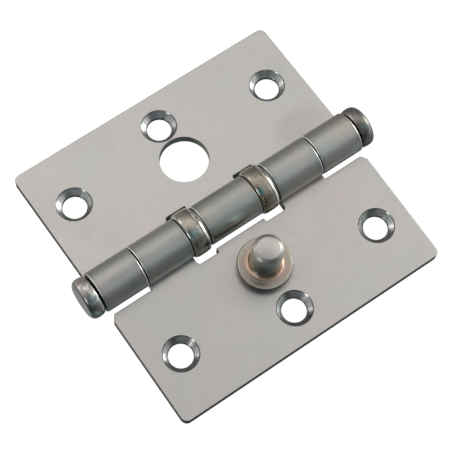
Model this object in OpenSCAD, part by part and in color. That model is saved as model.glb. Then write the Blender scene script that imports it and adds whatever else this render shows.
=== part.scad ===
// Ball-bearing butt hinge with a security stud: two pressed steel leaves rolled
// round one pin, two crimped ball thrust bearings between the middle knuckles,
// and a riveted stud on the door leaf that enters a hole in the frame leaf.
// The hinge lies opened, resting on its two bearings and its outer long edges.
// X runs along the pin, +Y towards the frame leaf, +Z up. The origin is on the
// ground, straight below the middle of the pin.

/* [Leaves] */
// Length of each leaf along the pin
leaf_len = 89; // [86:0.5:92]
// Width of one leaf, from the pin's axis to its outer edge
leaf_w = 44.5; // [43:0.5:47]
// Thickness of the sheet
leaf_t = 3; // [2.5:0.1:3.2]
// Drop of a leaf's front face below the pin's axis (half the closed gap)
face_drop = 2.2; // [1.9:0.1:2.6]
// Radius of the outer corners
corner_r = 2; // [1:0.5:4]
// Inner edge of a leaf where it faces the other leaf's knuckles, from the axis
notch_y = 7.4; // [7.2:0.1:8]
// Depth of the extra pockets beside the bearings
pocket_depth = 1.3; // [0.6:0.1:1.5]
// Radius of a door leaf pocket's outer corner
pocket_r = 1.1; // [0.3:0.1:1.2]
// Corner cut at the door leaf's free inner corners, along the pin
inner_cut_x = 1.3; // [1:0.1:3]
// Corner cut at the door leaf's free inner corners, across the pin
inner_cut_y = 1.9; // [1:0.1:3]

/* [Knuckles and pin] */
// Outer diameter of the rolled knuckles
knuckle_d = 12.7; // [12.3:0.1:13]
// Diameter of the pin
pin_d = 6.6; // [6.2:0.1:6.8]
// Radial running clearance between the pin and what turns on it
run_clear = 0.05; // [0.02:0.01:0.1]
// Half length of the middle knuckle
mid_half = 8.8; // [8:0.1:9.5]
// Length of one bearing along the pin
bearing_len = 6.2; // [5.8:0.1:6.6]
// Position of the gap between the outer knuckles, from the middle
split_x = 30.5; // [29:0.1:32]
// Width of the gap between the outer knuckles
split_gap = 0.25; // [0.15:0.05:0.5]
// Chamfer round the knuckle ends
knuckle_edge = 0.35; // [0.1:0.05:0.6]
// Width of the seam where the rolled sheet closes on the leaf
seam_w = 0.15; // [0.1:0.05:0.3]

/* [Pin heads] */
// Gap between the end knuckle and a pin head
head_gap = 0.4; // [0.2:0.1:0.8]
// Length of each head
head_len = 4.4; // [3.5:0.1:5.5]
// Largest radius of each head
head_r = 6.25; // [5.8:0.05:6.6]
// Radius of the flat end face
head_face_r = 5.0; // [4:0.1:5.2]

/* [Bearings] */
// Outer diameter of the bearing shells
bearing_d = 14.2; // [13.8:0.1:14.8]
// Wall of the crimped shell
shell_t = 0.7; // [0.5:0.05:0.8]
// Diameter of the balls
ball_d = 2.38; // [2.2:0.02:2.4]
// Radius of the balls' pitch circle
ball_pitch_r = 4.9; // [4.85:0.01:4.95]
// Number of balls in each bearing
ball_count = 12; // [8:1:12]

/* [Screw holes] */
// Radius of the through hole
screw_r = 3.65; // [2.5:0.05:4]
// Radius of the countersink at the front face
sink_r = 5.45; // [5:0.05:6]
// Depth of the countersink
sink_depth = 2.0; // [1.5:0.1:2.2]
// Distance of the end holes from the middle, along the pin
end_hole_x = 34.2; // [32:0.1:36]
// Distance of the end holes from the axis
end_hole_y = 27.4; // [26:0.1:30]
// Distance of the middle hole from the axis
mid_hole_y = 34.4; // [34:0.1:36]

/* [Security stud and socket] */
// Radius of the hole that the stud enters
socket_r = 7.3; // [7:0.1:7.4]
// Distance of that hole from the axis
socket_y = 21.2; // [21:0.1:21.5]
// Distance of the stud from the axis
stud_y = 19.4; // [19:0.1:20]
// Height of the stud above the leaf's front face
stud_h = 16; // [12:0.5:16]
// Radius of the stud's body
stud_r = 4.55; // [4:0.05:4.8]
// Radius of the stud's flat top
stud_top_r = 3.2; // [2.5:0.05:3.8]
// Radius of the stud's flange
flange_r = 7.9; // [7:0.1:8]
// Thickness of the flange
flange_t = 2.9; // [2:0.1:3]
// Radius of the shank riveted through the leaf
shank_r = 3.2; // [2.5:0.1:3.5]

/* [Hidden] */
$fn = 96;

steel = [0.72, 0.71, 0.68];
bright = [0.80, 0.78, 0.72];
dark = [0.52, 0.53, 0.52];

half = leaf_len / 2;
knuckle_r = knuckle_d / 2;
pin_r = pin_d / 2;
bearing_r = bearing_d / 2;
axis_z = bearing_r;                       // the bearings touch the ground
back_z = -(face_drop + leaf_t);           // the leaf's back face, below the axis
droop = asin((bearing_r + back_z) / leaf_w); // each leaf's fall to its outer edge
bearing_x0 = mid_half;                    // inner end of a bearing
bearing_x1 = mid_half + bearing_len;      // outer end of a bearing
split_in = split_x - split_gap / 2;
split_out = split_x + split_gap / 2;
pocket_x0 = mid_half - 0.4;
pocket_x1 = bearing_x1 + 0.3;
pocket_y = notch_y + pocket_depth;
swage_r = 5;                              // radius of the bend between leaf and roll
swage_y = sqrt(pow(knuckle_r + swage_r, 2) - pow(swage_r - back_z, 2));
overlap = 0.5;

// From a leaf's own frame (flat, pin's axis at the origin, leaf towards +Y)
// to the hinge's frame.
module on_frame_side() translate([0, 0, axis_z]) rotate([-droop, 0, 0]) children();
module on_door_side() translate([0, 0, axis_z]) mirror([0, 1, 0]) rotate([-droop, 0, 0]) children();
module along_x(x0 = 0) translate([x0, 0, 0]) rotate([90, 0, 90]) children();
module turned(x0) translate([x0, 0, 0]) rotate([0, 90, 0]) children();

// A rounded rectangle from y0 to the outer edge, round at the outer corners.
module leaf_outline(y0) {
    translate([-half, y0]) square([leaf_len, leaf_w - corner_r - y0]);
    translate([-half + corner_r, y0]) square([leaf_len - 2 * corner_r, leaf_w - y0]);
    for (s = [-1, 1]) translate([s * (half - corner_r), leaf_w - corner_r]) circle(corner_r);
}

// Flat part of a leaf, from the deepest pocket outwards.
module leaf_plate() translate([0, 0, back_z]) linear_extrude(leaf_t) leaf_outline(pocket_y);

// A stretch of leaf between the pockets and the notch edge or the roll.
module strip(x0, x1, y0) translate([x0, y0, back_z]) cube([x1 - x0, pocket_y - y0 + overlap, leaf_t]);

// Fillet in a pocket's corner at (x, pocket_y); s points along X out of the pocket.
module pocket_fillet(x, s, r) translate([0, 0, back_z]) linear_extrude(leaf_t) difference() {
    translate([s > 0 ? x - r : x - 0.01, pocket_y - r]) square([r + 0.01, r + 0.01]);
    translate([x - s * r, pocket_y - r]) circle(r);
}

// Bend that carries the sheet from the back face round under the pin.
function swage_pt(a) = [swage_y + swage_r * cos(a), back_z - swage_r + swage_r * sin(a)];
swage_a0 = atan2(swage_r - back_z, -swage_y);
swage_steps = 12;
module swage_section() polygon(concat(
    [[swage_y + 0.01, back_z + 0.6], [1.9, back_z + 0.6]],
    [let (p = swage_pt(swage_a0)) [p[0] * 0.93, p[1] * 0.93]],
    [for (i = [0:swage_steps]) swage_pt(swage_a0 + (90 - swage_a0) * i / swage_steps)]));

// One knuckle with its root: the rolled ring, the bend and the start of the leaf.
// root0 and root1 are the ends of the root, which may be shorter than the ring.
module knuckle(x0, x1, root0, root1) {
    e = knuckle_edge;
    turned(x0) rotate_extrude() polygon([[1, 0], [knuckle_r - e, 0], [knuckle_r, e],
        [knuckle_r, x1 - x0 - e], [knuckle_r - e, x1 - x0], [1, x1 - x0]]);
    along_x(root0) linear_extrude(root1 - root0) swage_section();
    strip(root0, root1, 3.9);
}

// Bore for the pin and the seam where the rolled sheet comes back to the leaf.
module knuckle_cut(x0, x1, bore_r) {
    turned(x0 - 1) cylinder(r = bore_r, h = x1 - x0 + 2);
    translate([x0 - 1, 2, -face_drop]) cube([x1 - x0 + 2, knuckle_r, seam_w]);
}

module screw_hole(x, y) translate([x, y, 0]) {
    translate([0, 0, back_z - 1]) cylinder(r = screw_r, h = leaf_t + 2);
    translate([0, 0, -face_drop - sink_depth]) cylinder(r1 = screw_r, r2 = sink_r, h = sink_depth);
    translate([0, 0, -face_drop]) cylinder(r = sink_r, h = 1);
}

module screw_holes() {
    for (s = [-1, 1]) screw_hole(s * end_hole_x, end_hole_y);
    screw_hole(0, mid_hole_y);
}

// Frame leaf: end and middle knuckles, screw holes and the stud's socket.
module frame_leaf() color(steel) on_frame_side() difference() {
    union() {
        leaf_plate();
        for (s = [0, 1]) mirror([s, 0, 0]) {
            strip(pocket_x1, split_out + overlap, notch_y);
            pocket_fillet(pocket_x0, -1, 0.4);
            pocket_fillet(pocket_x1, 1, 0.9);
            knuckle(split_out, half, split_out, half);
        }
        knuckle(-mid_half, mid_half, -pocket_x0, pocket_x0);
    }
    for (s = [0, 1]) mirror([s, 0, 0]) knuckle_cut(split_out, half, pin_r);
    knuckle_cut(-mid_half, mid_half, pin_r);
    screw_holes();
    translate([0, socket_y, back_z - 1]) cylinder(r = socket_r, h = leaf_t + 2);
}

// Door leaf: the two knuckles between, screw holes and the riveted stud's hole.
module door_leaf() color(steel) on_door_side() difference() {
    union() {
        leaf_plate();
        strip(-pocket_x0, pocket_x0, notch_y);
        for (s = [0, 1]) mirror([s, 0, 0]) {
            knuckle(bearing_x1, split_in, pocket_x1, split_in);
            pocket_fillet(pocket_x1, 1, pocket_r);
            pocket_fillet(pocket_x0, -1, 0.4);
            strip(split_in - overlap, half, notch_y);
        }
    }
    for (s = [0, 1]) mirror([s, 0, 0]) {
        knuckle_cut(bearing_x1, split_in, pin_r + run_clear);
        translate([0, 0, back_z - 1]) linear_extrude(leaf_t + 2)
            polygon([[half - inner_cut_x, notch_y], [half - inner_cut_x, notch_y - 1],
                     [half + 1, notch_y - 1], [half + 1, notch_y + inner_cut_y], [half, notch_y + inner_cut_y]]);
    }
    screw_holes();
    translate([0, stud_y, back_z - 1]) cylinder(r = shank_r, h = leaf_t + 2);
    translate([0, stud_y, back_z]) cylinder(r1 = shank_r + 1.2, r2 = shank_r, h = 1.2);
}

// Button head, drawn from the pin outwards along +Z.
module head_profile() polygon([[0, 0], [head_r - 0.75, 0], [head_r - 0.35, 0.25], [head_r - 0.1, 0.85],
    [head_r - 0.02, 1.6], [head_r, 2.2], [head_r - 0.05, 2.85], [head_r - 0.22, 3.4], [head_r - 0.5, head_len - 0.55],
    [head_r - 0.85, head_len - 0.25], [head_face_r, head_len - 0.03], [head_face_r - 0.12, head_len], [0, head_len]]);

// Pin with its formed head at the left end.
module hinge_pin() color(bright) translate([0, 0, axis_z]) {
    turned(-half - head_gap - 0.1) cylinder(r = pin_r, h = leaf_len + head_gap * 2 + 0.1 + 2.5);
    mirror([1, 0, 0]) turned(half + head_gap) rotate_extrude() head_profile();
}

// Cap pressed on the pin's right end, of the same shape as the head.
module pin_cap() color(bright) translate([0, 0, axis_z]) difference() {
    turned(half + head_gap) rotate_extrude() head_profile();
    turned(half) cylinder(r = pin_r, h = head_gap + 2.5);
}

// Security stud: flange, body with a chamfered top, and the riveted shank.
module security_stud() color(bright) on_door_side() translate([0, stud_y, -face_drop]) {
    rotate_extrude() polygon([[0, -0.2], [shank_r, -0.2], [shank_r, 0], [flange_r, 0], [flange_r, flange_t - 0.7],
        [flange_r - 0.12, flange_t - 0.35], [flange_r - 0.45, flange_t - 0.12], [flange_r - 0.9, flange_t - 0.05],
        [stud_r + 1.0, flange_t], [stud_r + 0.55, flange_t + 0.15], [stud_r + 0.2, flange_t + 0.5],
        [stud_r, flange_t + 1.1], [stud_r, stud_h - 1.0], [stud_r - 0.18, stud_h - 0.65],
        [stud_top_r + 0.3, stud_h - 0.12], [stud_top_r, stud_h], [0, stud_h]]);
    translate([0, 0, -leaf_t]) cylinder(r = shank_r, h = leaf_t + 0.1);
    translate([0, 0, -leaf_t]) cylinder(r1 = shank_r + 1.2, r2 = shank_r, h = 1.2);
}

// Bearing pieces, drawn along +Z from the seat end (0) to the free end.
// Crimped shell: a drawn cup with a flange at the seat and a curled lip.
module shell_body() rotate_extrude() polygon([
    [5.05, 0.1], [bearing_r - 0.9, 0.1], [bearing_r - 0.5, 0.22], [bearing_r - 0.22, 0.5],
    [bearing_r - 0.07, 0.9], [bearing_r, 1.5], [bearing_r, 3.5], [bearing_r - 0.04, 4.0], [bearing_r - 0.11, 4.25],
    [bearing_r - 0.11, 4.4], [bearing_r - 0.08, 4.6], [bearing_r - 0.14, 4.9], [bearing_r - 0.3, 5.2],
    [bearing_r - 0.55, 5.48], [bearing_r - 0.85, 5.66], [bearing_r - 1.1, 5.6], [bearing_r - 1.1, 5.1],
    [bearing_r - 0.95, 4.95], [bearing_r - shell_t, 4.8], [bearing_r - shell_t, 0.8], [5.05, 0.8]]);

module race_groove(z) translate([0, 0, z]) rotate_extrude() translate([ball_pitch_r, 0]) circle(ball_d / 2 + 0.06);

// Race seated in the shell's flange.
module seat_race() difference() {
    rotate_extrude() polygon([[pin_r + 0.1, 0], [4.95, 0], [4.95, 0.85], [bearing_r - shell_t - 0.05, 0.85],
        [bearing_r - shell_t - 0.05, 2.3], [pin_r + 0.1, 2.3]]);
    race_groove(3.1);
}

// Race that turns against it, held in by the lip and standing proud of it.
module free_race() difference() {
    rotate_extrude() polygon([[pin_r + 0.1, 3.9], [bearing_r - shell_t - 0.3, 3.9], [bearing_r - shell_t - 0.3, 4.65],
        [bearing_r - 1.4, 4.65], [bearing_r - 1.4, bearing_len], [pin_r + 0.1, bearing_len]]);
    race_groove(3.1);
}

module ball_ring() for (i = [0:ball_count - 1]) rotate([0, 0, i * 360 / ball_count])
    translate([ball_pitch_r, 0, 3.1]) sphere(d = ball_d);

module at_left_bearing() translate([0, 0, axis_z]) turned(-bearing_x1) children();
module at_right_bearing() translate([0, 0, axis_z]) turned(bearing_x0) children();

module left_bearing_shell() color(bright) at_left_bearing() shell_body();
module left_bearing_seat_race() color(dark) at_left_bearing() seat_race();
module left_bearing_free_race() color(dark) at_left_bearing() free_race();
module left_bearing_balls() color("gainsboro") at_left_bearing() ball_ring();
module right_bearing_shell() color(bright) at_right_bearing() shell_body();
module right_bearing_seat_race() color(dark) at_right_bearing() seat_race();
module right_bearing_free_race() color(dark) at_right_bearing() free_race();
module right_bearing_balls() color("gainsboro") at_right_bearing() ball_ring();

frame_leaf();
door_leaf();
hinge_pin();
pin_cap();
security_stud();
left_bearing_shell();
left_bearing_seat_race();
left_bearing_free_race();
left_bearing_balls();
right_bearing_shell();
right_bearing_seat_race();
right_bearing_free_race();
right_bearing_balls();
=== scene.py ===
import math

import bmesh
import bpy
from mathutils import Matrix, Vector


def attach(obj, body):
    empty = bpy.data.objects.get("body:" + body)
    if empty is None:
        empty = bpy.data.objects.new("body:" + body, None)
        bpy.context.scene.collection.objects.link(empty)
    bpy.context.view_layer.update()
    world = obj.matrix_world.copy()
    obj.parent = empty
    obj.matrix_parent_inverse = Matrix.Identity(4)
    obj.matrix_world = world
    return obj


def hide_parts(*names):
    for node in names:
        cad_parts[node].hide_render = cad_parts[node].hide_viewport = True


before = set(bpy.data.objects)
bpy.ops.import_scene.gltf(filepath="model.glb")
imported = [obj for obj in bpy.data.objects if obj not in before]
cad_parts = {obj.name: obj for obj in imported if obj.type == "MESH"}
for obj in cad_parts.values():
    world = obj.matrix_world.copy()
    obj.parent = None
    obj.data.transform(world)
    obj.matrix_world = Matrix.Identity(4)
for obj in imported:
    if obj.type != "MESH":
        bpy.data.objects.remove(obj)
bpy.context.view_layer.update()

# ---------------------------------------------------------------- sizes, mm
MM = 0.001
HALF, LEAF_W, LEAF_T, DROP = 44.5, 44.5, 3.0, 2.2
ZF, ZB = -DROP, -(DROP + LEAF_T)
AXIS_Z = 7.1
DROOP = math.asin((AXIS_Z + ZB) / LEAF_W)
KR, PIN_R = 6.35, 3.3
MID, B0, B1 = 8.8, 8.8, 15.0
SPLIT_IN, SPLIT_OUT = 30.375, 30.625
NOTCH, POCKET = 7.4, 8.7
PX0, PX1 = 8.4, 15.3
SEAM = 0.15
SWAGE_R = 5.0
SWAGE_Y = math.sqrt((KR + SWAGE_R) ** 2 - (SWAGE_R - ZB) ** 2)


# ---------------------------------------------------------------- mesh tools
def rounded(pts, step=0.13):
    """Closed outline from (x, y, radius) corners, each corner an arc."""
    out, n = [], len(pts)
    for i, (x, y, r) in enumerate(pts):
        p = Vector((x, y))
        if r <= 0:
            out.append(p)
            continue
        u = (Vector(pts[i - 1][:2]) - p).normalized()
        v = (Vector(pts[(i + 1) % n][:2]) - p).normalized()
        half = math.acos(max(-1, min(1, u.dot(v)))) / 2
        c = p + (u + v).normalized() * (r / math.sin(half))
        s, e = p + u * (r / math.tan(half)), p + v * (r / math.tan(half))
        a0 = math.atan2(s.y - c.y, s.x - c.x)
        d = (math.atan2(e.y - c.y, e.x - c.x) - a0 + math.pi) % (2 * math.pi) - math.pi
        k = max(3, math.ceil(abs(d) / step))
        out += [c + Vector((math.cos(a0 + d * j / k), math.sin(a0 + d * j / k))) * r for j in range(k + 1)]
    return out


def inset(loop, d):
    """A counter-clockwise loop moved inwards by d."""
    out, n = [], len(loop)
    for i, p in enumerate(loop):
        e1, e2 = (p - loop[i - 1]).normalized(), (loop[(i + 1) % n] - p).normalized()
        n1, n2 = Vector((-e1.y, e1.x)), Vector((-e2.y, e2.x))
        m = n1 + n2
        out.append(p + m * (d / max(m.dot(n1), 0.3)))
    return out


def quarter(r, steps, flip=False):
    """Points (inset, depth) of a rounded edge of radius r, from the face to the side."""
    pts = [(r * (1 - math.sin(a)), r * (1 - math.cos(a))) for a in [math.pi / 2 * i / steps for i in range(steps + 1)]]
    return pts[::-1] if flip else pts


def slab(loop, at, top, bottom, r_top, r_bottom, steps=4):
    """Closed solid between two planes with rounded edges. at(x, y, z) places a point."""
    rings = [(i, top - d) for i, d in quarter(r_top, steps)] + [(i, bottom + d) for i, d in quarter(r_bottom, steps, True)]
    verts, faces, n = [], [], len(loop)
    for ins, z in rings:
        verts += [at(p.x, p.y, z) for p in (inset(loop, ins) if ins > 1e-9 else loop)]
    for k in range(len(rings) - 1):
        for i in range(n):
            j = (i + 1) % n
            faces.append((k * n + i, (k + 1) * n + i, (k + 1) * n + j, k * n + j))
    faces.append(tuple(range(n)))
    faces.append(tuple(reversed(range((len(rings) - 1) * n, len(rings) * n))))
    return verts, faces


def lathe(profile, at, n=160):
    """Closed solid of revolution. profile is [(radius, height)], from axis to axis or a closed ring. at(x, y, z), z the height."""
    verts, faces, rows = [], [], []
    closed = profile[0][0] > 1e-6
    for r, h in profile:
        if r < 1e-6:
            rows.append([len(verts)] * n)
            verts.append(at(0, 0, h))
        else:
            rows.append(list(range(len(verts), len(verts) + n)))
            verts += [at(r * math.cos(2 * math.pi * i / n), r * math.sin(2 * math.pi * i / n), h) for i in range(n)]
    pairs = [(k, k + 1) for k in range(len(rows) - 1)] + ([(len(rows) - 1, 0)] if closed else [])
    for a, b in pairs:
        for i in range(n):
            j = (i + 1) % n
            f = [rows[a][i], rows[a][j], rows[b][j], rows[b][i]]
            f = [v for q, v in enumerate(f) if v not in f[:q]]
            if len(f) > 2:
                faces.append(tuple(f))
    return verts, faces


def spline(pts, per=5, hi=None):
    """Catmull-Rom curve through (radius, height) points."""
    out = []
    for i in range(len(pts) - 1):
        p0, p1, p2, p3 = (Vector(pts[max(i - 1, 0)]), Vector(pts[i]), Vector(pts[i + 1]), Vector(pts[min(i + 2, len(pts) - 1)]))
        for k in range(per):
            t = k / per
            q = 0.5 * ((2 * p1) + (p2 - p0) * t + (2 * p0 - 5 * p1 + 4 * p2 - p3) * t * t + (3 * p1 - p0 - 3 * p2 + p3) * t ** 3)
            out.append((min(q.x, hi) if hi else q.x, q.y))
    return out + [tuple(pts[-1])]


def arc(cr, ch, r, a0, a1, steps=6):
    """Points of an arc in the (radius, height) plane, angles in degrees."""
    return [(cr + r * math.cos(math.radians(a0 + (a1 - a0) * i / steps)), ch + r * math.sin(math.radians(a0 + (a1 - a0) * i / steps))) for i in range(steps + 1)]


def mesh_object(name, verts, faces, flip=False):
    bm = bmesh.new()
    vs = [bm.verts.new(Vector(v) * MM) for v in verts]
    for f in faces:
        try:
            bm.faces.new([vs[i] for i in f])
        except ValueError:
            pass
    bmesh.ops.recalc_face_normals(bm, faces=bm.faces)
    me = bpy.data.meshes.new(name)
    bm.to_mesh(me)
    bm.free()
    ob = bpy.data.objects.new(name, me)
    bpy.context.scene.collection.objects.link(ob)
    return ob


def joined(name, parts):
    verts, faces = [], []
    for v, f in parts:
        o = len(verts)
        verts += v
        faces += [tuple(i + o for i in q) for q in f]
    return mesh_object(name, verts, faces)


def boolean(ob, other, op):
    m = ob.modifiers.new("bool", "BOOLEAN")
    m.object, m.operation, m.solver = other, op, "MANIFOLD"
    dg = bpy.context.evaluated_depsgraph_get()
    me = bpy.data.meshes.new_from_object(ob.evaluated_get(dg))
    ob.modifiers.clear()
    old, ob.data = ob.data, me
    bpy.data.meshes.remove(old)
    gone = other.data
    bpy.data.objects.remove(other)
    bpy.data.meshes.remove(gone)


def smooth(ob, angle=32, weighted=True):
    """Smooth shading that keeps edges sharper than angle."""
    bm = bmesh.new()
    bm.from_mesh(ob.data)
    bmesh.ops.remove_doubles(bm, verts=bm.verts, dist=2e-7)
    bmesh.ops.dissolve_degenerate(bm, edges=bm.edges, dist=2e-7)
    lim = math.radians(angle)
    for f in bm.faces:
        f.smooth = True
    for e in bm.edges:
        e.smooth = len(e.link_faces) == 2 and e.calc_face_angle(0) < lim
    loose = sum(1 for e in bm.edges if not e.is_manifold)
    bm.to_mesh(ob.data)
    bm.free()
    if loose:
        print("open edges in", ob.name, loose)
    if weighted:
        w = ob.modifiers.new("normals", "WEIGHTED_NORMAL")
        w.keep_sharp, w.mode, w.weight = True, "FACE_AREA", 50


def clear_modifiers(ob):
    dg = bpy.context.evaluated_depsgraph_get()
    me = bpy.data.meshes.new_from_object(ob.evaluated_get(dg), preserve_all_data_layers=True, depsgraph=dg)
    ob.modifiers.clear()
    ob.data = me


# ---------------------------------------------------------------- placing
CD, SD = math.cos(DROOP), math.sin(DROOP)


def frame_side(x, y, z):
    return (x, y * CD + z * SD, AXIS_Z - y * SD + z * CD)


def door_side(x, y, z):
    return (x, -(y * CD + z * SD), AXIS_Z - y * SD + z * CD)


def along_pin(x0, sign=1):
    """Height along +X (or -X) from x0, round the pin's axis."""
    return lambda a, b, h: (x0 + sign * h, a, AXIS_Z + b)


# ---------------------------------------------------------------- leaves
def knuckle(x0, x1, bore, side):
    """Rolled ring with the bend that carries the sheet round it, and the seam at the leaf's face."""
    st = math.radians(2.5)
    pts = []
    a0 = math.asin((ZF + SEAM) / KR)
    tan = math.atan2(-(SWAGE_R - ZB), SWAGE_Y) + 2 * math.pi      # where the bend leaves the ring
    k = math.ceil((tan - a0) / st)
    pts += [Vector((KR * math.cos(a0 + (tan - a0) * i / k), KR * math.sin(a0 + (tan - a0) * i / k))) for i in range(k + 1)]
    s0 = math.atan2(SWAGE_R - ZB, -SWAGE_Y)
    for i in range(1, 11):
        a = s0 + (math.pi / 2 - s0) * i / 10
        pts.append(Vector((SWAGE_Y + SWAGE_R * math.cos(a), ZB - SWAGE_R + SWAGE_R * math.sin(a) + 0.012 * i / 10)))
    zs = ZF - 0.2
    pts.append(Vector((SWAGE_Y, zs)))
    b0 = math.asin(zs / bore)
    b1 = math.asin((ZF + SEAM) / bore) - 2 * math.pi
    k = math.ceil((b0 - b1) / st)
    pts += [Vector((bore * math.cos(b0 + (b1 - b0) * i / k), bore * math.sin(b0 + (b1 - b0) * i / k))) for i in range(k + 1)]
    return slab(pts, lambda y, z, x: side(x, y, z), x1, x0, 0.56, 0.42, 6)


def screw_cutter(x, y, side):
    """Negative of a countersunk hole: rim, cone with turning marks, wall, back edge."""
    prof = [(0, ZF + 1), (5.44, ZF + 1), (5.42, ZF + 0.01)] + [(5.40, ZF - 0.02), (5.36, ZF - 0.05), (5.31, ZF - 0.1)]
    n = 7
    for i in range(n):
        t0, t1 = i / n, (i + 1) / n
        r0, r1 = 5.30 + (3.72 - 5.30) * t0, 5.30 + (3.72 - 5.30) * t1
        z0, z1 = ZF - 0.13 - 1.82 * t0, ZF - 0.13 - 1.82 * t1
        prof += [(r0, z0), (r1 + 0.035, z1 + 0.02)]
    prof += [(3.68, ZF - 2.0), (3.65, ZF - 2.1), (3.65, ZB + 0.14), (3.68, ZB + 0.06), (3.76, ZB - 0.01), (3.8, ZB - 1), (0, ZB - 1)]
    return lathe(prof, lambda a, b, h: side(x + a, y + b, h), 128)


def plain_cutter(x, y, r, side):
    prof = [(0, ZF + 1), (r + 0.2, ZF + 1), (r + 0.17, ZF + 0.01), (r + 0.09, ZF - 0.04), (r + 0.02, ZF - 0.14), (r, ZF - 0.22),
            (r, ZB + 0.22), (r + 0.04, ZB + 0.1), (r + 0.12, ZB - 0.01), (r + 0.15, ZB - 1), (0, ZB - 1)]
    return lathe(prof, lambda a, b, h: side(x + a, y + b, h), 176)


SCREWS = [(-34.2, 27.4), (34.2, 27.4), (0, 34.4)]


def build_leaf(name, corners, rings, cutters, side):
    loop = rounded(corners)
    ob = mesh_object(name, *slab(loop, side, ZF, ZB, 0.26, 0.2, 4))
    boolean(ob, joined(name + "_cut", cutters), "DIFFERENCE")
    boolean(ob, joined(name + "_rings", rings), "UNION")
    smooth(ob, 33)
    return ob


def mark_leaf(ob, side_y):
    """Face marks for the finish: cut edges, countersinks, and each point's distance from its screw."""
    me = ob.data
    # values are gathered in lists and written at the end, once every attribute exists
    turn = [0.0] * len(me.vertices)
    edge, sink, rim = ([0.0] * len(me.polygons) for _ in range(3))
    up = Vector((0, side_y * SD, CD))

    def flat(v):
        y, z = v.y * side_y / MM, v.z / MM - AXIS_Z
        return v.x / MM, y * CD - z * SD, y * SD + z * CD

    near = []
    for i, v in enumerate(me.vertices):
        x, y, z = flat(v.co)
        r = min(math.hypot(x - a, y - b) for a, b in SCREWS)
        near.append(r)
        turn[i] = r
    for i, f in enumerate(me.polygons):
        x, y, z = flat(f.center)
        r = min(math.hypot(x - a, y - b) for a, b in SCREWS)
        in_sink = max(near[k] for k in f.vertices) < 5.6 and z < ZF - 0.02 and r > 3.3
        sink[i] = 1.0 if in_sink else 0.0
        # rolled edges at the knuckles' ends, marked for a painted highlight
        if KR - 0.26 < math.hypot(y, z) < KR - 0.005 and abs(f.normal.x) > 0.2:
            rim[i] = 0.65
        # faces that lean away from the sheet's face are marked for painted shade, fully where they face sideways
        lean = abs(f.normal.dot(up))
        dark = 1.0 if lean < 0.5 else 0.85 if lean < 0.7 else 0.5 if lean < 0.92 else 0.0
        # the socket's wall gets less of the painted edge shade than the other cut edges
        if side_y > 0 and dark > 0.5 and math.hypot(x, y - 21.2) < 7.6:
            dark = 0.62
        edge[i] = dark if not in_sink and math.hypot(y, z) > KR + 0.4 and y > KR - 0.2 else 0.0
    marks = {"turn": turn, "cut_edge": edge, "sink": sink, "rim": rim}
    for name in marks:
        me.attributes.new(name, "FLOAT", "POINT" if name == "turn" else "FACE")
    for name, values in marks.items():
        me.attributes[name].data.foreach_set("value", values)


def mirrored(half):
    """The whole outline from its right half, given from the outer edge round to the inner edge."""
    return [(-x, y, r) for x, y, r in half[::-1]] + half


inner = 2.6
frame_half = [(HALF, LEAF_W, 2.0), (HALF, inner, 0), (SPLIT_OUT + 0.03, inner, 0), (SPLIT_OUT + 0.03, NOTCH, 0.35),
              (PX1, NOTCH, 0.3), (PX1, POCKET, 0.9), (PX0, POCKET, 0.4), (PX0, inner, 0)]
door_half = [(HALF, LEAF_W, 2.0), (HALF, NOTCH + 1.9, 0.5), (HALF - 1.3, NOTCH, 0.5), (SPLIT_IN - 0.03, NOTCH, 0.35),
             (SPLIT_IN - 0.03, inner, 0), (PX1, inner, 0), (PX1, POCKET, 1.1), (PX0, POCKET, 0.4), (PX0, NOTCH, 0.3)]
# counter-clockwise: outer edge runs from right to left
frame_outline = [(x, y, r) for x, y, r in mirrored(frame_half)][::-1]
door_outline = [(x, y, r) for x, y, r in mirrored(door_half)][::-1]

frame_leaf = build_leaf(
    "frame_leaf_sheet", frame_outline,
    [knuckle(-HALF + 0.03, -SPLIT_OUT, PIN_R + 0.02, frame_side), knuckle(-MID, MID, PIN_R + 0.02, frame_side),
     knuckle(SPLIT_OUT, HALF - 0.03, PIN_R + 0.02, frame_side)],
    [screw_cutter(x, y, frame_side) for x, y in SCREWS] + [plain_cutter(0, 21.2, 7.3, frame_side)], frame_side)
door_leaf = build_leaf(
    "door_leaf_sheet", door_outline,
    [knuckle(-SPLIT_IN, -B1, PIN_R + 0.05, door_side), knuckle(B1, SPLIT_IN, PIN_R + 0.05, door_side)],
    [screw_cutter(x, y, door_side) for x, y in SCREWS]
    + [lathe([(0, ZF + 1), (3.2, ZF + 1), (3.2, ZB + 1.2), (4.4, ZB), (4.4, ZB - 1), (0, ZB - 1)],
             lambda a, b, h: door_side(a, 19.4 + b, h), 96)], door_side)


# ---------------------------------------------------------------- turned pieces
HEAD = spline([(5.50, 0.0), (5.88, 0.25), (6.14, 0.85), (6.23, 1.6), (6.25, 2.2), (6.2, 2.85), (6.03, 3.4), (5.75, 3.84), (5.39, 4.14), (5.06, 4.33)], 5, 6.25)
HEAD += [(4.99, 4.375), (4.93, 4.395), (4.86, 4.4), (3.0, 4.4), (0, 4.4)]
pin = joined("hinge_pin_turned", [lathe([(0, 0.0)] + [(2.9, 0.0), (3.1, 0.06), (3.28, 0.25), (PIN_R, 0.45), (PIN_R, 92.2)] + [(5.2, 92.2), (5.35, 92.22)]
                                        + [(r, 92.2 + h) for r, h in HEAD], along_pin(47.3, -1), 176)])
cap = joined("pin_cap_turned", [lathe([(0, 2.5), (PIN_R, 2.5), (PIN_R, 0.0), (5.2, 0.0), (5.35, 0.02)] + HEAD, along_pin(44.9, 1), 176)])

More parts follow.
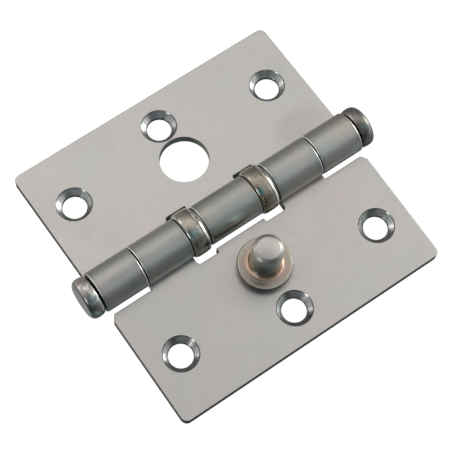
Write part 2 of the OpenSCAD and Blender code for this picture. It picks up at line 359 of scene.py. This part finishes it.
STUD = [(0, -LEAF_T), (4.4, -LEAF_T), (3.2, -LEAF_T + 1.2), (3.2, -0.01), (7.9, 0.0), (7.97, 0.05)]
STUD += [(8.02, 0.2), (8.02, 2.42)] + arc(7.62, 2.44, 0.4, 5, 86, 5)
STUD += spline([(7.3, 2.86), (6.9, 2.885), (6.4, 2.91), (5.9, 2.95), (5.5, 3.03), (5.15, 3.17), (4.88, 3.42), (4.69, 3.76), (4.59, 4.15), (4.55, 4.55)], 3, 8.02)
STUD += [(4.55, 9.0), (4.46, 14.7)] + [(4.44, 14.95), (4.4, 15.06), (4.34, 15.14), (3.38, 15.9), (3.3, 15.965), (3.2, 16.0), (0, 16.0)]
stud = joined("security_stud_turned", [lathe(STUD, lambda a, b, h: door_side(a, 19.4 + b, ZF + h), 144)])

SHELL = spline([(5.05, 0.14), (5.15, 0.1), (6.1, 0.1), (6.35, 0.15), (6.6, 0.27), (6.83, 0.5), (6.99, 0.85), (7.07, 1.3), (7.1, 1.8), (7.1, 2.6), (7.09, 3.3), (7.06, 3.8), (7.02, 4.08),
                (6.985, 4.28), (6.985, 4.42), (7.0, 4.56), (6.98, 4.75), (6.91, 4.97), (6.78, 5.2), (6.58, 5.42), (6.36, 5.58), (6.18, 5.63), (6.04, 5.56), (6.0, 5.42)], 4, 7.1)
SHELL += [(6.0, 5.1), (6.15, 4.95), (6.4, 4.8), (6.4, 0.8), (5.05, 0.8)]
shells = {}
for side_name, x0 in (("left", -B1), ("right", B0)):
    shells[side_name] = joined(side_name + "_bearing_collar", [lathe(SHELL, along_pin(x0, 1), 176)])

for ob in (pin, cap, stud, *shells.values()):
    smooth(ob, 33)


# ---------------------------------------------------------------- materials
def nodes_of(name):
    m = bpy.data.materials.new(name)
    m.use_nodes = True
    t = m.node_tree
    t.nodes.clear()
    out = t.nodes.new("ShaderNodeOutputMaterial")
    bsdf = t.nodes.new("ShaderNodeBsdfPrincipled")
    t.links.new(bsdf.outputs[0], out.inputs[0])
    tc = t.nodes.new("ShaderNodeTexCoord")
    return m, t, bsdf, tc.outputs["Object"]


def noise(t, vec, scale, detail=4, rough=0.55, stretch=None):
    if stretch:
        mp = t.nodes.new("ShaderNodeMapping")
        mp.inputs["Scale"].default_value = stretch
        t.links.new(vec, mp.inputs["Vector"])
        vec = mp.outputs[0]
    n = t.nodes.new("ShaderNodeTexNoise")
    n.inputs["Scale"].default_value = scale
    n.inputs["Detail"].default_value = detail
    n.inputs["Roughness"].default_value = rough
    t.links.new(vec, n.inputs["Vector"])
    return n.outputs["Fac"]


def ramp(t, fac, stops, mode="LINEAR"):
    r = t.nodes.new("ShaderNodeValToRGB")
    r.color_ramp.interpolation = mode
    el = r.color_ramp.elements
    while len(el) < len(stops):
        el.new(0.5)
    for e, (p, c) in zip(el, stops):
        e.position = p
        e.color = (*c, 1) if len(c) == 3 else c
    t.links.new(fac, r.inputs[0])
    return r.outputs[0]


def span(t, fac, a, b, lo, hi):
    m = t.nodes.new("ShaderNodeMapRange")
    for i, v in enumerate((a, b, lo, hi)):
        m.inputs[1 + i].default_value = v
    t.links.new(fac, m.inputs[0])
    return m.outputs[0]


def mix(t, fac, a, b, mode="MIX"):
    m = t.nodes.new("ShaderNodeMix")
    m.data_type, m.blend_type = "RGBA", mode
    for sock, v in ((m.inputs[0], fac), (m.inputs[6], a), (m.inputs[7], b)):
        if isinstance(v, (int, float)):
            sock.default_value = v
        elif isinstance(v, tuple):
            sock.default_value = (*v, 1)
        else:
            t.links.new(v, sock)
    return m.outputs[2]


def calc(t, op, a, b=0.0):
    m = t.nodes.new("ShaderNodeMath")
    m.operation = op
    for sock, v in zip(m.inputs, (a, b)):
        if isinstance(v, (int, float)):
            sock.default_value = v
        else:
            t.links.new(v, sock)
    return m.outputs[0]


def bump(t, bsdf, height, strength, dist):
    b = t.nodes.new("ShaderNodeBump")
    b.inputs["Strength"].default_value = strength
    b.inputs["Distance"].default_value = dist
    t.links.new(height, b.inputs["Height"])
    t.links.new(b.outputs[0], bsdf.inputs["Normal"])


def place(t, vec):
    """Millimetres in the hinge's frame: x, y, z, distance from the pin's axis, and angle round it."""
    sc = t.nodes.new("ShaderNodeVectorMath")
    sc.operation = "SCALE"
    sc.inputs["Scale"].default_value = 1000.0
    t.links.new(vec, sc.inputs[0])
    sep = t.nodes.new("ShaderNodeSeparateXYZ")
    t.links.new(sc.outputs[0], sep.inputs[0])
    x, y, z = sep.outputs
    up = calc(t, "SUBTRACT", z, AXIS_Z)
    rho = calc(t, "SQRT", calc(t, "ADD", calc(t, "MULTIPLY", y, y), calc(t, "MULTIPLY", up, up)))
    phi = calc(t, "MULTIPLY", calc(t, "ARCTAN2", y, up), 180 / math.pi)
    return x, y, up, rho, phi


def soft(t, v, a, b):
    """0 at a rising smoothly to 1 at b, either way round."""
    m = t.nodes.new("ShaderNodeMapRange")
    m.interpolation_type = "SMOOTHSTEP"
    if a < b:
        lims = (a, b, 0.0, 1.0)
    else:
        lims = (b, a, 1.0, 0.0)
    for i, u in enumerate(lims):
        m.inputs[1 + i].default_value = u
    t.links.new(v, m.inputs[0])
    return m.outputs[0]


def both(t, *vals):
    out = vals[0]
    for v in vals[1:]:
        out = calc(t, "MULTIPLY", out, v)
    return out


def blob(t, u, v, cu, cv, ru, rv, edge=0.5):
    """1 inside an ellipse in two coordinates, fading out at its border."""
    du = calc(t, "DIVIDE", calc(t, "SUBTRACT", u, cu), ru)
    dv = calc(t, "DIVIDE", calc(t, "SUBTRACT", v, cv), rv)
    d = calc(t, "SQRT", calc(t, "ADD", calc(t, "MULTIPLY", du, du), calc(t, "MULTIPLY", dv, dv)))
    return soft(t, d, 1.0 + edge, 1.0 - edge)


def attribute(t, name):
    n = t.nodes.new("ShaderNodeAttribute")
    n.attribute_name = name
    return n.outputs["Fac"]


def finish_start(name, base, tint_a, tint_b, mottle):
    """Metal with a cloudy, slightly varied colour."""
    m, t, bsdf, vec = nodes_of(name)
    bsdf.inputs["Metallic"].default_value = 1.0
    cloud = noise(t, vec, 42, 3, 0.5)
    tint = ramp(t, cloud, [(0.32, tint_a), (0.5, base), (0.68, tint_b)])
    fine = ramp(t, noise(t, vec, 130, 4, 0.6), [(0.28, tuple(1 - mottle for _ in range(3))), (0.72, (1, 1, 1))])
    return m, t, bsdf, vec, mix(t, 1.0, tint, fine, "MULTIPLY")


def leaf_finish(name, side_y):
    """Zinc-plated sheet: satin faces, darker rolled knuckles, cut edges painted dark as shade, polished countersinks.
    """
    m, t, bsdf, vec, col = finish_start(name, (0.63, 0.615, 0.585), (0.612, 0.618, 0.585), (0.645, 0.61, 0.585), 0.035)
    x, y, up, rho, phi = place(t, vec)
    ax = calc(t, "ABSOLUTE", x)
    patchy = ramp(t, noise(t, vec, 190, 3, 0.55), [(0.30, (0.965, 0.985, 0.97)), (0.5, (1, 1, 1)), (0.70, (1.0, 0.975, 0.975))])
    col = mix(t, 1.0, col, patchy, "MULTIPLY")
    frost = ramp(t, noise(t, vec, 1500, 2, 0.6), [(0.3, (0.955, 0.955, 0.955)), (0.7, (1, 1, 1))])
    col = mix(t, 1.0, col, frost, "MULTIPLY")
    # smudges and faint handling marks
    smudge = noise(t, vec, 26, 5, 0.62)
    col = mix(t, both(t, soft(t, smudge, 0.56, 0.70), 0.30), col, (0.50, 0.485, 0.46))
    scr = noise(t, vec, 55, 2, 0.5, (1.0, 9.0, 1.0))
    col = mix(t, both(t, soft(t, scr, 0.66, 0.74), 0.16), col, (0.74, 0.73, 0.71))
    dots = noise(t, vec, 560, 2, 0.5)
    col = mix(t, both(t, soft(t, dots, 0.72, 0.80), 0.22), col, (0.36, 0.35, 0.33))
    # rolled knuckles: duller, with streaks along the pin and round it
    kn = soft(t, rho, 7.0, 6.55)
    streak = noise(t, vec, 60, 4, 0.6, (0.35, 1.6, 1.6))
    kcol = ramp(t, streak, [(0.30, (0.655, 0.68, 0.66)), (0.5, (0.74, 0.74, 0.735)), (0.70, (0.805, 0.78, 0.77))])
    cloudy = ramp(t, noise(t, vec, 95, 3, 0.5, (0.8, 1.3, 1.3)), [(0.34, (0.925, 0.975, 0.98)), (0.5, (1, 1, 1)), (0.66, (1.065, 1.025, 0.995))])
    kcol = mix(t, 1.0, kcol, cloudy, "MULTIPLY")
    # painted shade: the rolled knuckles darken towards each joint between them
    near = 0.0
    for end in (MID, B1, SPLIT_IN, HALF):
        near = calc(t, "MAXIMUM", near, soft(t, calc(t, "ABSOLUTE", calc(t, "SUBTRACT", ax, end)), 1.9, 0.3))
    near = both(t, near, span(t, noise(t, vec, 300, 4, 0.6), 0.3, 0.7, 0.55, 1.0))
    kcol = mix(t, 1.0, kcol, mix(t, near, (1.0, 1.0, 1.0), (0.83, 0.84, 0.83)), "MULTIPLY")
    kcol = mix(t, 1.0, kcol, (1.04, 1.04, 1.04), "MULTIPLY")
    kfac = mix(t, kn, (1.0, 1.0, 1.0), kcol)
    col = mix(t, 1.0, col, kfac, "MULTIPLY")
    # painted shade in the fold between sheet and knuckle: a dark band fading out onto the sheet
    low = calc(t, "MULTIPLY", y, float(side_y))
    fold_shade = both(t, soft(t, rho, 8.0, 6.6), soft(t, low, 4.5, 5.6), soft(t, rho, 6.42, 6.56))
    ragged = span(t, noise(t, vec, 420, 4, 0.6), 0.3, 0.7, 0.72, 1.0)
    col = mix(t, both(t, fold_shade, ragged, 0.8), col, (0.13, 0.13, 0.125))
    # a soft darker patch on the frame leaf beside its outer knuckle at +X
    if side_y > 0:
        dark_patch = blob(t, x, y, 34.0, 11.0, 8.0, 5.0, 0.5)
        col = mix(t, both(t, dark_patch, 0.26), col, (0.33, 0.32, 0.30))
    # painted highlight: the rolled edges at the knuckles' ends are painted near-white, broken up by noise
    rim = attribute(t, "rim")
    col = mix(t, both(t, rim, span(t, noise(t, vec, 600, 3, 0.6), 0.3, 0.6, 0.6, 1.0)), col, (0.97, 0.96, 0.93))
    # the knuckles' flat ends are painted black: partly the joints' own dark, partly painted shade in the narrow gaps
    deep = soft(t, rho, 6.12, 6.02)
    col = mix(t, both(t, deep, 0.965), col, (0.004, 0.004, 0.004))
    # cut edges of the sheet, painted dark: painted shade on the side walls
    edge = attribute(t, "cut_edge")
    edge_shade = ramp(t, noise(t, vec, 900, 3, 0.6), [(0.3, (0.055, 0.053, 0.05)), (0.7, (0.135, 0.13, 0.122))])
    col = mix(t, edge, col, edge_shade)
    # countersinks
    sink = attribute(t, "sink")
    turn = attribute(t, "turn")
    ring = calc(t, "SINE", calc(t, "MULTIPLY", turn, 2 * math.pi / 0.34))
    wob = noise(t, vec, 700, 3, 0.6)
    sunk = ramp(t, calc(t, "ADD", calc(t, "MULTIPLY", ring, 0.16), wob), [(0.3, (0.25, 0.26, 0.26)), (0.75, (0.56, 0.555, 0.545))])
    # painted shade: the bore below each countersink is darkened
    wall = soft(t, turn, 3.78, 3.68)
    sunk = mix(t, both(t, wall, 0.8), sunk, (0.12, 0.12, 0.115))
    col = mix(t, sink, col, sunk)
    t.links.new(col, bsdf.inputs["Base Color"])
    # roughness
    r = span(t, noise(t, vec, 60, 5, 0.65), 0.3, 0.7, 0.335, 0.40)
    grain = noise(t, vec, 1100, 3, 0.6)
    r = calc(t, "ADD", r, span(t, grain, 0.3, 0.7, -0.03, 0.03))
    r = calc(t, "ADD", r, both(t, kn, -0.03))
    r = calc(t, "ADD", r, both(t, sink, -0.14))
    r = calc(t, "ADD", r, both(t, rim, 0.08))
    r = calc(t, "ADD", r, both(t, edge, 0.12))
    t.links.new(r, bsdf.inputs["Roughness"])
    h = calc(t, "ADD", calc(t, "MULTIPLY", grain, 0.8), calc(t, "MULTIPLY", noise(t, vec, 150, 3, 0.5), 2.2))
    h = calc(t, "ADD", h, both(t, sink, ring, 0.45))
    h = calc(t, "ADD", h, both(t, kn, noise(t, vec, 210, 3, 0.55), 7.0))
    bump(t, bsdf, h, 0.35, 0.00002)
    return m


def pin_finish(name, centre, way):
    """Zinc heads rubbed and scuffed, with a blue-green tinge low on the rim."""
    m, t, bsdf, vec, col = finish_start(name, (0.58, 0.55, 0.53), (0.50, 0.51, 0.49), (0.66, 0.585, 0.56), 0.12)
    x, y, up, rho, phi = place(t, vec)
    u = calc(t, "MULTIPLY", calc(t, "SUBTRACT", x, centre), float(way))       # from the head's seat outwards
    # the cap is painted darker than the head, and its scuffs and spot below are darker too
    if way > 0:
        col = mix(t, 1.0, col, (0.60, 0.60, 0.575), "MULTIPLY")
    side = soft(t, rho, 5.1, 5.6)
    col = mix(t, side, col, mix(t, 1.0, col, (0.76, 0.76, 0.745), "MULTIPLY"))
    teal = both(t, blob(t, phi, u, -27, 1.9, 15, 1.7, 0.55), span(t, noise(t, vec, 480, 4, 0.6), 0.35, 0.65, 0.25, 1.0))
    col = mix(t, both(t, teal, 0.75), col, (0.16, 0.36, 0.35) if way < 0 else (0.085, 0.17, 0.155))
    scuff = noise(t, vec, 340, 5, 0.68, (1.0, 0.6, 1.5))
    col = mix(t, both(t, soft(t, scuff, 0.53, 0.60), 0.65), col, (0.88, 0.83, 0.80) if way < 0 else (0.47, 0.44, 0.425))
    col = mix(t, both(t, soft(t, scuff, 0.47, 0.38), 0.60), col, (0.17, 0.17, 0.16))
    flat = both(t, soft(t, rho, 5.15, 4.95), soft(t, u, 4.2, 4.38))
    face = ramp(t, noise(t, vec, 300, 5, 0.65), [(0.3, (0.46, 0.455, 0.46)), (0.7, (0.66, 0.65, 0.65))])
    col = mix(t, flat, col, face)
    # the seat against the knuckle is painted black: partly the joint's own dark, partly painted shade
    seat = soft(t, u, 0.16, 0.05)
    col = mix(t, both(t, seat, 0.95), col, (0.006, 0.006, 0.006))
    t.links.new(col, bsdf.inputs["Base Color"])
    r = span(t, noise(t, vec, 170, 5, 0.65), 0.3, 0.7, 0.17, 0.33)
    r = calc(t, "ADD", r, both(t, flat, 0.14))
    t.links.new(r, bsdf.inputs["Roughness"])
    h = calc(t, "ADD", calc(t, "MULTIPLY", scuff, 3.4), calc(t, "MULTIPLY", noise(t, vec, 160, 3, 0.5), 4.0))
    bump(t, bsdf, h, 0.8, 0.00004)
    return m


def collar_finish(name, x0, tone, teal_u, wide, high):
    """Bright nickel-like plating with one blue-green spot, and a lip with a painted highlight broken up like wear."""
    m, t, bsdf, vec, col = finish_start(name, (0.70, 0.655, 0.60), (0.66, 0.635, 0.585), (0.74, 0.66, 0.585), 0.08)
    x, y, up, rho, phi = place(t, vec)
    u = calc(t, "SUBTRACT", x, x0)
    col = mix(t, 1.0, col, tone, "MULTIPLY")
    # one blue-green spot, darker towards its lower edge
    spot = both(t, blob(t, phi, u, -23, teal_u, high, wide, 0.6), span(t, noise(t, vec, 520, 4, 0.65), 0.35, 0.6, 0.25, 1.0))
    col = mix(t, both(t, spot, 0.8), col, ramp(t, span(t, phi, -44.0, -12.0, 0.0, 1.0), [(0.0, (0.03, 0.11, 0.11)), (0.5, (0.06, 0.27, 0.28)), (1.0, (0.17, 0.37, 0.37))]))
    wear_and_glint = noise(t, vec, 430, 5, 0.65, (1.0, 1.0, 1.0))
    # painted highlight: the lip is painted bright in ragged patches, broken up like wear
    lip = both(t, soft(t, u, 4.3, 4.5), soft(t, wear_and_glint, 0.44, 0.52))
    col = mix(t, both(t, lip, 0.8), col, (0.92, 0.89, 0.85))
    col = mix(t, both(t, soft(t, wear_and_glint, 0.43, 0.36), 0.55), col, (0.16, 0.135, 0.105))
    # painted shade in the shallow groove before the lip
    groove = both(t, soft(t, u, 4.05, 4.28), soft(t, u, 4.62, 4.42))
    col = mix(t, both(t, groove, 0.45), col, (0.12, 0.115, 0.10))
    # the seats at both ends are painted black: partly the joints' own dark, partly painted shade
    seat = calc(t, "MAXIMUM", soft(t, u, 0.16, 0.11), both(t, soft(t, u, 5.40, 5.52), soft(t, rho, 6.75, 6.6)))
    col = mix(t, both(t, seat, 0.95), col, (0.006, 0.006, 0.006))
    t.links.new(col, bsdf.inputs["Base Color"])
    r = span(t, noise(t, vec, 210, 5, 0.65), 0.3, 0.7, 0.11, 0.21)
    t.links.new(r, bsdf.inputs["Roughness"])
    h = calc(t, "ADD", calc(t, "MULTIPLY", wear_and_glint, 3.0), calc(t, "MULTIPLY", noise(t, vec, 170, 3, 0.5), 6.0))
    bump(t, bsdf, h, 0.7, 0.00004)
    return m


def stud_finish(name):
    """Yellow-passivated stud: tan flange, shank painted dark as shade, pale scuffed end."""
    m, t, bsdf, vec, col = finish_start(name, (0.60, 0.575, 0.545), (0.57, 0.575, 0.53), (0.63, 0.565, 0.53), 0.08)
    sc = t.nodes.new("ShaderNodeVectorMath")
    sc.operation = "SCALE"
    sc.inputs["Scale"].default_value = 1000.0
    t.links.new(vec, sc.inputs[0])
    sep = t.nodes.new("ShaderNodeSeparateXYZ")
    t.links.new(sc.outputs[0], sep.inputs[0])
    x, yw, zw = sep.outputs
    y = calc(t, "MULTIPLY", yw, -1.0)
    z = calc(t, "SUBTRACT", zw, AXIS_Z)
    # distance out of the sheet and from the stud's own axis
    out = calc(t, "SUBTRACT", calc(t, "ADD", calc(t, "MULTIPLY", y, SD), calc(t, "MULTIPLY", z, CD)), ZF)
    along = calc(t, "SUBTRACT", calc(t, "SUBTRACT", calc(t, "MULTIPLY", y, CD), calc(t, "MULTIPLY", z, SD)), 19.4)
    rr = calc(t, "SQRT", calc(t, "ADD", calc(t, "MULTIPLY", x, x), calc(t, "MULTIPLY", along, along)))
    flange = both(t, soft(t, out, 3.45, 3.1), soft(t, rr, 4.7, 5.1))
    # flange colour rings, reddish near the shank; the pale ring on the rounded rim is a painted highlight
    rings = ramp(t, span(t, rr, 4.6, 8.1, 0.0, 1.0), [(0.0, (0.42, 0.29, 0.22)), (0.25, (0.385, 0.315, 0.26)), (0.5, (0.37, 0.33, 0.28)),
                                                       (0.75, (0.40, 0.37, 0.315)), (0.88, (0.47, 0.44, 0.385)), (0.95, (0.40, 0.37, 0.32))])
    tan = ramp(t, noise(t, vec, 150, 4, 0.6), [(0.3, (0.86, 0.96, 0.80)), (0.5, (1.0, 1.0, 1.0)), (0.7, (1.10, 0.98, 1.0))])
    col = mix(t, flange, col, mix(t, 1.0, rings, tan, "MULTIPLY"))
    # painted shade: the flange's side wall is painted near-black
    band = soft(t, rr, 7.74, 7.90)
    col = mix(t, both(t, band, 0.96), col, (0.032, 0.030, 0.024))
    # painted reflection: a copper glow round the root of the shank
    root = both(t, soft(t, out, 2.95, 3.25), soft(t, out, 5.2, 3.9))
    copper = ramp(t, noise(t, vec, 260, 4, 0.6), [(0.35, (0.40, 0.33, 0.26)), (0.6, (0.86, 0.50, 0.33))])
    col = mix(t, both(t, root, 0.75), col, copper)
    # the shank is painted dark blue-green, darkest at its root: painted shade and reflection
    shank = both(t, soft(t, out, 3.9, 5.2), soft(t, out, 15.0, 14.8))
    body = ramp(t, noise(t, vec, 90, 4, 0.6), [(0.35, (0.22, 0.275, 0.265)), (0.65, (0.40, 0.42, 0.40))])
    body = mix(t, 1.0, body, ramp(t, span(t, out, 4.5, 14.5, 0.0, 1.0), [(0.0, (0.28, 0.64, 0.56)), (0.35, (0.54, 0.76, 0.72)), (0.8, (0.95, 0.97, 0.97)), (1.0, (1.0, 1.0, 1.0))]), "MULTIPLY")
    col = mix(t, both(t, shank, 0.85), col, body)
    # painted shade: the chamfer round the flat end is darker than the flat
    cone = both(t, soft(t, out, 14.95, 15.1), soft(t, out, 15.97, 15.9))
    col = mix(t, both(t, cone, 0.7), col, (0.33, 0.32, 0.29))
    scuff = noise(t, vec, 500, 5, 0.7)
    col = mix(t, both(t, soft(t, scuff, 0.62, 0.70), 0.35), col, (0.80, 0.77, 0.72))
    t.links.new(col, bsdf.inputs["Base Color"])
    top = soft(t, out, 15.6, 15.9)
    r = span(t, noise(t, vec, 180, 5, 0.65), 0.3, 0.7, 0.14, 0.24)
    r = calc(t, "ADD", r, both(t, top, 0.12))
    r = calc(t, "ADD", r, both(t, cone, 0.17))
    r = calc(t, "ADD", r, both(t, root, 0.22))
    t.links.new(r, bsdf.inputs["Roughness"])
    bump(t, bsdf, calc(t, "ADD", scuff, calc(t, "MULTIPLY", noise(t, vec, 160, 3, 0.5), 3.0)), 0.55, 0.00004)
    return m


def ground(name, base, dark, rough):
    """Ground bearing steel with a thin film of old grease."""
    m, t, bsdf, vec, col = finish_start(name, base, tuple(0.95 * c for c in base), tuple(1.04 * c for c in base), 0.06)
    film = noise(t, vec, 240, 4, 0.6)
    col = mix(t, both(t, soft(t, film, 0.52, 0.68), 0.5), col, dark)
    t.links.new(col, bsdf.inputs["Base Color"])
    t.links.new(span(t, noise(t, vec, 300, 4, 0.6), 0.3, 0.7, rough - 0.04, rough + 0.05), bsdf.inputs["Roughness"])
    bump(t, bsdf, noise(t, vec, 1000, 3, 0.6), 0.3, 0.00001)
    return m


mark_leaf(frame_leaf, 1)
mark_leaf(door_leaf, -1)
LEAF_A = leaf_finish("leaf_zinc_frame", 1)
LEAF_B = leaf_finish("leaf_zinc_door", -1)
PINM = pin_finish("pin_head_zinc", 47.3 - 92.2, -1)
CAPM = pin_finish("pin_cap_zinc", 44.9, 1)
# the right collar is painted darker and browner than the left
SHELL_L = collar_finish("left_collar_nickel", -B1, (0.68, 0.67, 0.63), 1.7, 1.5, 12.0)
SHELL_R = collar_finish("right_collar_nickel", B0, (0.54, 0.52, 0.46), 1.1, 1.0, 9.0)
STUDM = stud_finish("stud_passivate")
RACEM = ground("race_ground", (0.42, 0.42, 0.41), (0.20, 0.18, 0.14), 0.26)
BALLM = ground("ball_polished", (0.76, 0.76, 0.76), (0.45, 0.42, 0.36), 0.09)

for ob, mat, body, node, slot in (
    (frame_leaf, LEAF_A, "frame", "frame_leaf", "leaf_steel"), (door_leaf, LEAF_B, "door", "door_leaf", "leaf_steel"),
    (pin, PINM, "frame", "hinge_pin", "pin_steel"), (cap, CAPM, "frame", "pin_cap", "pin_steel"),
    (stud, STUDM, "door", "security_stud", "stud_steel"),
    (shells["left"], SHELL_L, "door", "left_bearing_shell", "bearing_shell"),
    (shells["right"], SHELL_R, "frame", "right_bearing_shell", "bearing_shell"),
):
    ob.data.materials.clear()
    ob.data.materials.append(mat)
    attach(ob, body)
    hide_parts(node)

for node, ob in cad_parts.items():
    mat = BALLM if node.endswith("balls") else RACEM if node.endswith("race") else None
    if mat:
        for s in ob.material_slots:
            s.material = mat

# ---------------------------------------------------------------- stage, light, camera
bm = bmesh.new()
bmesh.ops.create_grid(bm, x_segments=1, y_segments=1, size=3.0)
me = bpy.data.meshes.new("floor")
bm.to_mesh(me)
bm.free()
floor = bpy.data.objects.new("floor", me)
bpy.context.scene.collection.objects.link(floor)
floor.location.z = -0.00002
fm = bpy.data.materials.new("floor_paper")
fm.use_nodes = True
ft = fm.node_tree
fb = ft.nodes["Principled BSDF"]
fb.inputs["Base Color"].default_value = (0.06, 0.06, 0.06, 1)
fb.inputs["Roughness"].default_value = 0.9
fb.inputs["Specular IOR Level"].default_value = 0.0
fb.inputs["Emission Color"].default_value = (1, 1, 1, 1)
fb.inputs["Emission Strength"].default_value = 1.0
me.materials.append(fm)
floor.visible_glossy = False
floor.visible_diffuse = False

world = bpy.data.worlds.new("studio")
bpy.context.scene.world = world
world.use_nodes = True
wt = world.node_tree
wt.nodes.clear()
wo = wt.nodes.new("ShaderNodeOutputWorld")
bg = wt.nodes.new("ShaderNodeBackground")
bgc = wt.nodes.new("ShaderNodeBackground")
bgc.inputs[0].default_value = (1.0, 1.0, 1.0, 1)
mixw = wt.nodes.new("ShaderNodeMixShader")
lp = wt.nodes.new("ShaderNodeLightPath")
wt.links.new(lp.outputs["Is Camera Ray"], mixw.inputs[0])
wt.links.new(bg.outputs[0], mixw.inputs[1])
wt.links.new(bgc.outputs[0], mixw.inputs[2])
wt.links.new(mixw.outputs[0], wo.inputs[0])
wtc = wt.nodes.new("ShaderNodeTexCoord")


# A soft studio surround: wide patches of light (direction, colour), brightest behind the
# hinge and overhead, with a weaker, cooler side towards the camera.
SKY = (
    ((-0.26, 0.81, 0.53), (1.00, 0.97, 0.97)),
    ((0.69, -0.50, 0.53), (1.35, 1.35, 1.37)),
    ((0.16, 0.50, 0.85), (1.09, 1.05, 1.03)),
    ((0.53, 0.00, 0.85), (1.10, 1.07, 1.02)),
    ((0.89, 0.00, 0.45), (0.82, 1.01, 0.97)),
    ((-0.43, 0.31, 0.85), (0.90, 0.88, 0.90)),
    ((0.95, -0.31, 0.00), (0.71, 0.82, 0.80)),
    ((-0.72, 0.53, 0.45), (0.74, 0.77, 0.77)),
    ((-0.59, 0.81, 0.00), (0.56, 0.55, 0.55)),
    ((0.59, -0.81, 0.00), (0.47, 0.51, 0.50)),
    ((0.95, 0.31, 0.00), (0.43, 0.50, 0.49)),
    ((0.16, -0.50, 0.85), (0.36, 0.47, 0.51)),
    ((0.26, -0.81, -0.53), (0.31, 0.35, 0.36)),
    ((0.00, 1.00, 0.00), (0.34, 0.31, 0.31)),
    ((0.72, -0.53, -0.45), (0.29, 0.32, 0.33)),
    ((0.28, 0.85, 0.45), (0.31, 0.30, 0.28)),
    ((0.85, 0.00, -0.53), (0.26, 0.32, 0.31)),
    ((-0.95, 0.31, 0.00), (0.23, 0.25, 0.26)),
    ((-0.28, 0.85, -0.45), (0.24, 0.22, 0.21)),
    ((0.72, 0.53, -0.45), (0.19, 0.24, 0.24)),
    ((0.26, 0.81, -0.53), (0.21, 0.20, 0.20)),
    ((-0.69, 0.50, -0.53), (0.20, 0.21, 0.20)),
    ((-0.28, -0.85, -0.45), (0.12, 0.21, 0.21)),
    ((0.59, 0.81, 0.00), (0.15, 0.18, 0.17)),
    ((-0.16, -0.50, -0.85), (0.10, 0.14, 0.14)),
    ((0.43, -0.31, -0.85), (0.08, 0.12, 0.13)),
    ((0.00, 0.00, 1.00), (0.11, 0.07, 0.11)),
    ((-0.16, 0.50, -0.85), (0.09, 0.11, 0.11)),
    ((0.69, 0.50, 0.53), (0.06, 0.10, 0.11)),
    ((-0.53, 0.00, -0.85), (0.08, 0.10, 0.10)),
    ((-0.85, 0.00, 0.53), (0.05, 0.09, 0.11)),
    ((-0.89, 0.00, -0.45), (0.08, 0.10, 0.09)),
    ((0.43, 0.31, -0.85), (0.05, 0.09, 0.09)),
    ((0.00, 0.00, -1.00), (0.03, 0.06, 0.07)),
    ((-0.69, -0.50, -0.53), (0.04, 0.06, 0.06)),
)


# Narrower lamps that draw the bright lines along rounded rims.
LAMPS = (
    ((-0.553, 0.749, 0.361), (4.4, 4.3, 4.15), 110.0),
    ((0.96, -0.083, 0.266), (13.0, 13.0, 12.7), 55.0),
    ((-0.975, -0.13, 0.18), (13.0, 13.0, 12.8), 180.0),
    ((-0.30, 0.30, -0.91), (0.42, 0.42, 0.42), 14.2),
    ((-0.69, -0.50, 0.53), (0.32, 0.33, 0.34), 10.0),
    ((-0.26, -0.81, 0.53), (0.22, 0.23, 0.24), 14.2),
    ((-0.90, 0.10, 0.40), (0.30, 0.30, 0.30), 12.0),
)


def patch(direction, colour, tight=14.2):
    """Light that fades smoothly with the angle from a direction."""
    dot = wt.nodes.new("ShaderNodeVectorMath")
    dot.operation = "DOT_PRODUCT"
    wt.links.new(wtc.outputs["Generated"], dot.inputs[0])
    dot.inputs[1].default_value = Vector(direction).normalized()
    e = calc(wt, "EXPONENT", calc(wt, "MULTIPLY", calc(wt, "SUBTRACT", dot.outputs["Value"], 1.0), tight))
    v = wt.nodes.new("ShaderNodeVectorMath")
    v.operation = "SCALE"
    v.inputs[0].default_value = colour
    wt.links.new(e, v.inputs["Scale"])
    return v.outputs[0]


total = None
for entry in SKY + LAMPS:
    p = patch(*entry)
    if total is None:
        total = p
        continue
    v = wt.nodes.new("ShaderNodeVectorMath")
    wt.links.new(total, v.inputs[0])
    wt.links.new(p, v.inputs[1])
    total = v.outputs[0]
wt.links.new(total, bg.inputs[0])
bg.inputs[1].default_value = 0.8

cam_data = bpy.data.cameras.new("camera")
cam = bpy.data.objects.new("camera", cam_data)
bpy.context.scene.collection.objects.link(cam)
cam_data.sensor_width = 36
cam_data.lens = 125.3586
cam_data.clip_start, cam_data.clip_end = 0.01, 20
rot = Matrix(((0.81867891, 0.52279391, -0.23759498), (-0.57333446, 0.76750225, -0.28675406), (0.03244141, 0.37098089, 0.92807367)))
cam.matrix_world = Matrix.Translation(Vector((-0.10989157, -0.13379297, 0.42595309))) @ rot.to_4x4()
bpy.context.scene.camera = cam
bpy.context.scene.view_settings.view_transform = "Standard"
bpy.context.scene.view_settings.look = "None"

bpy.context.view_layer.update()
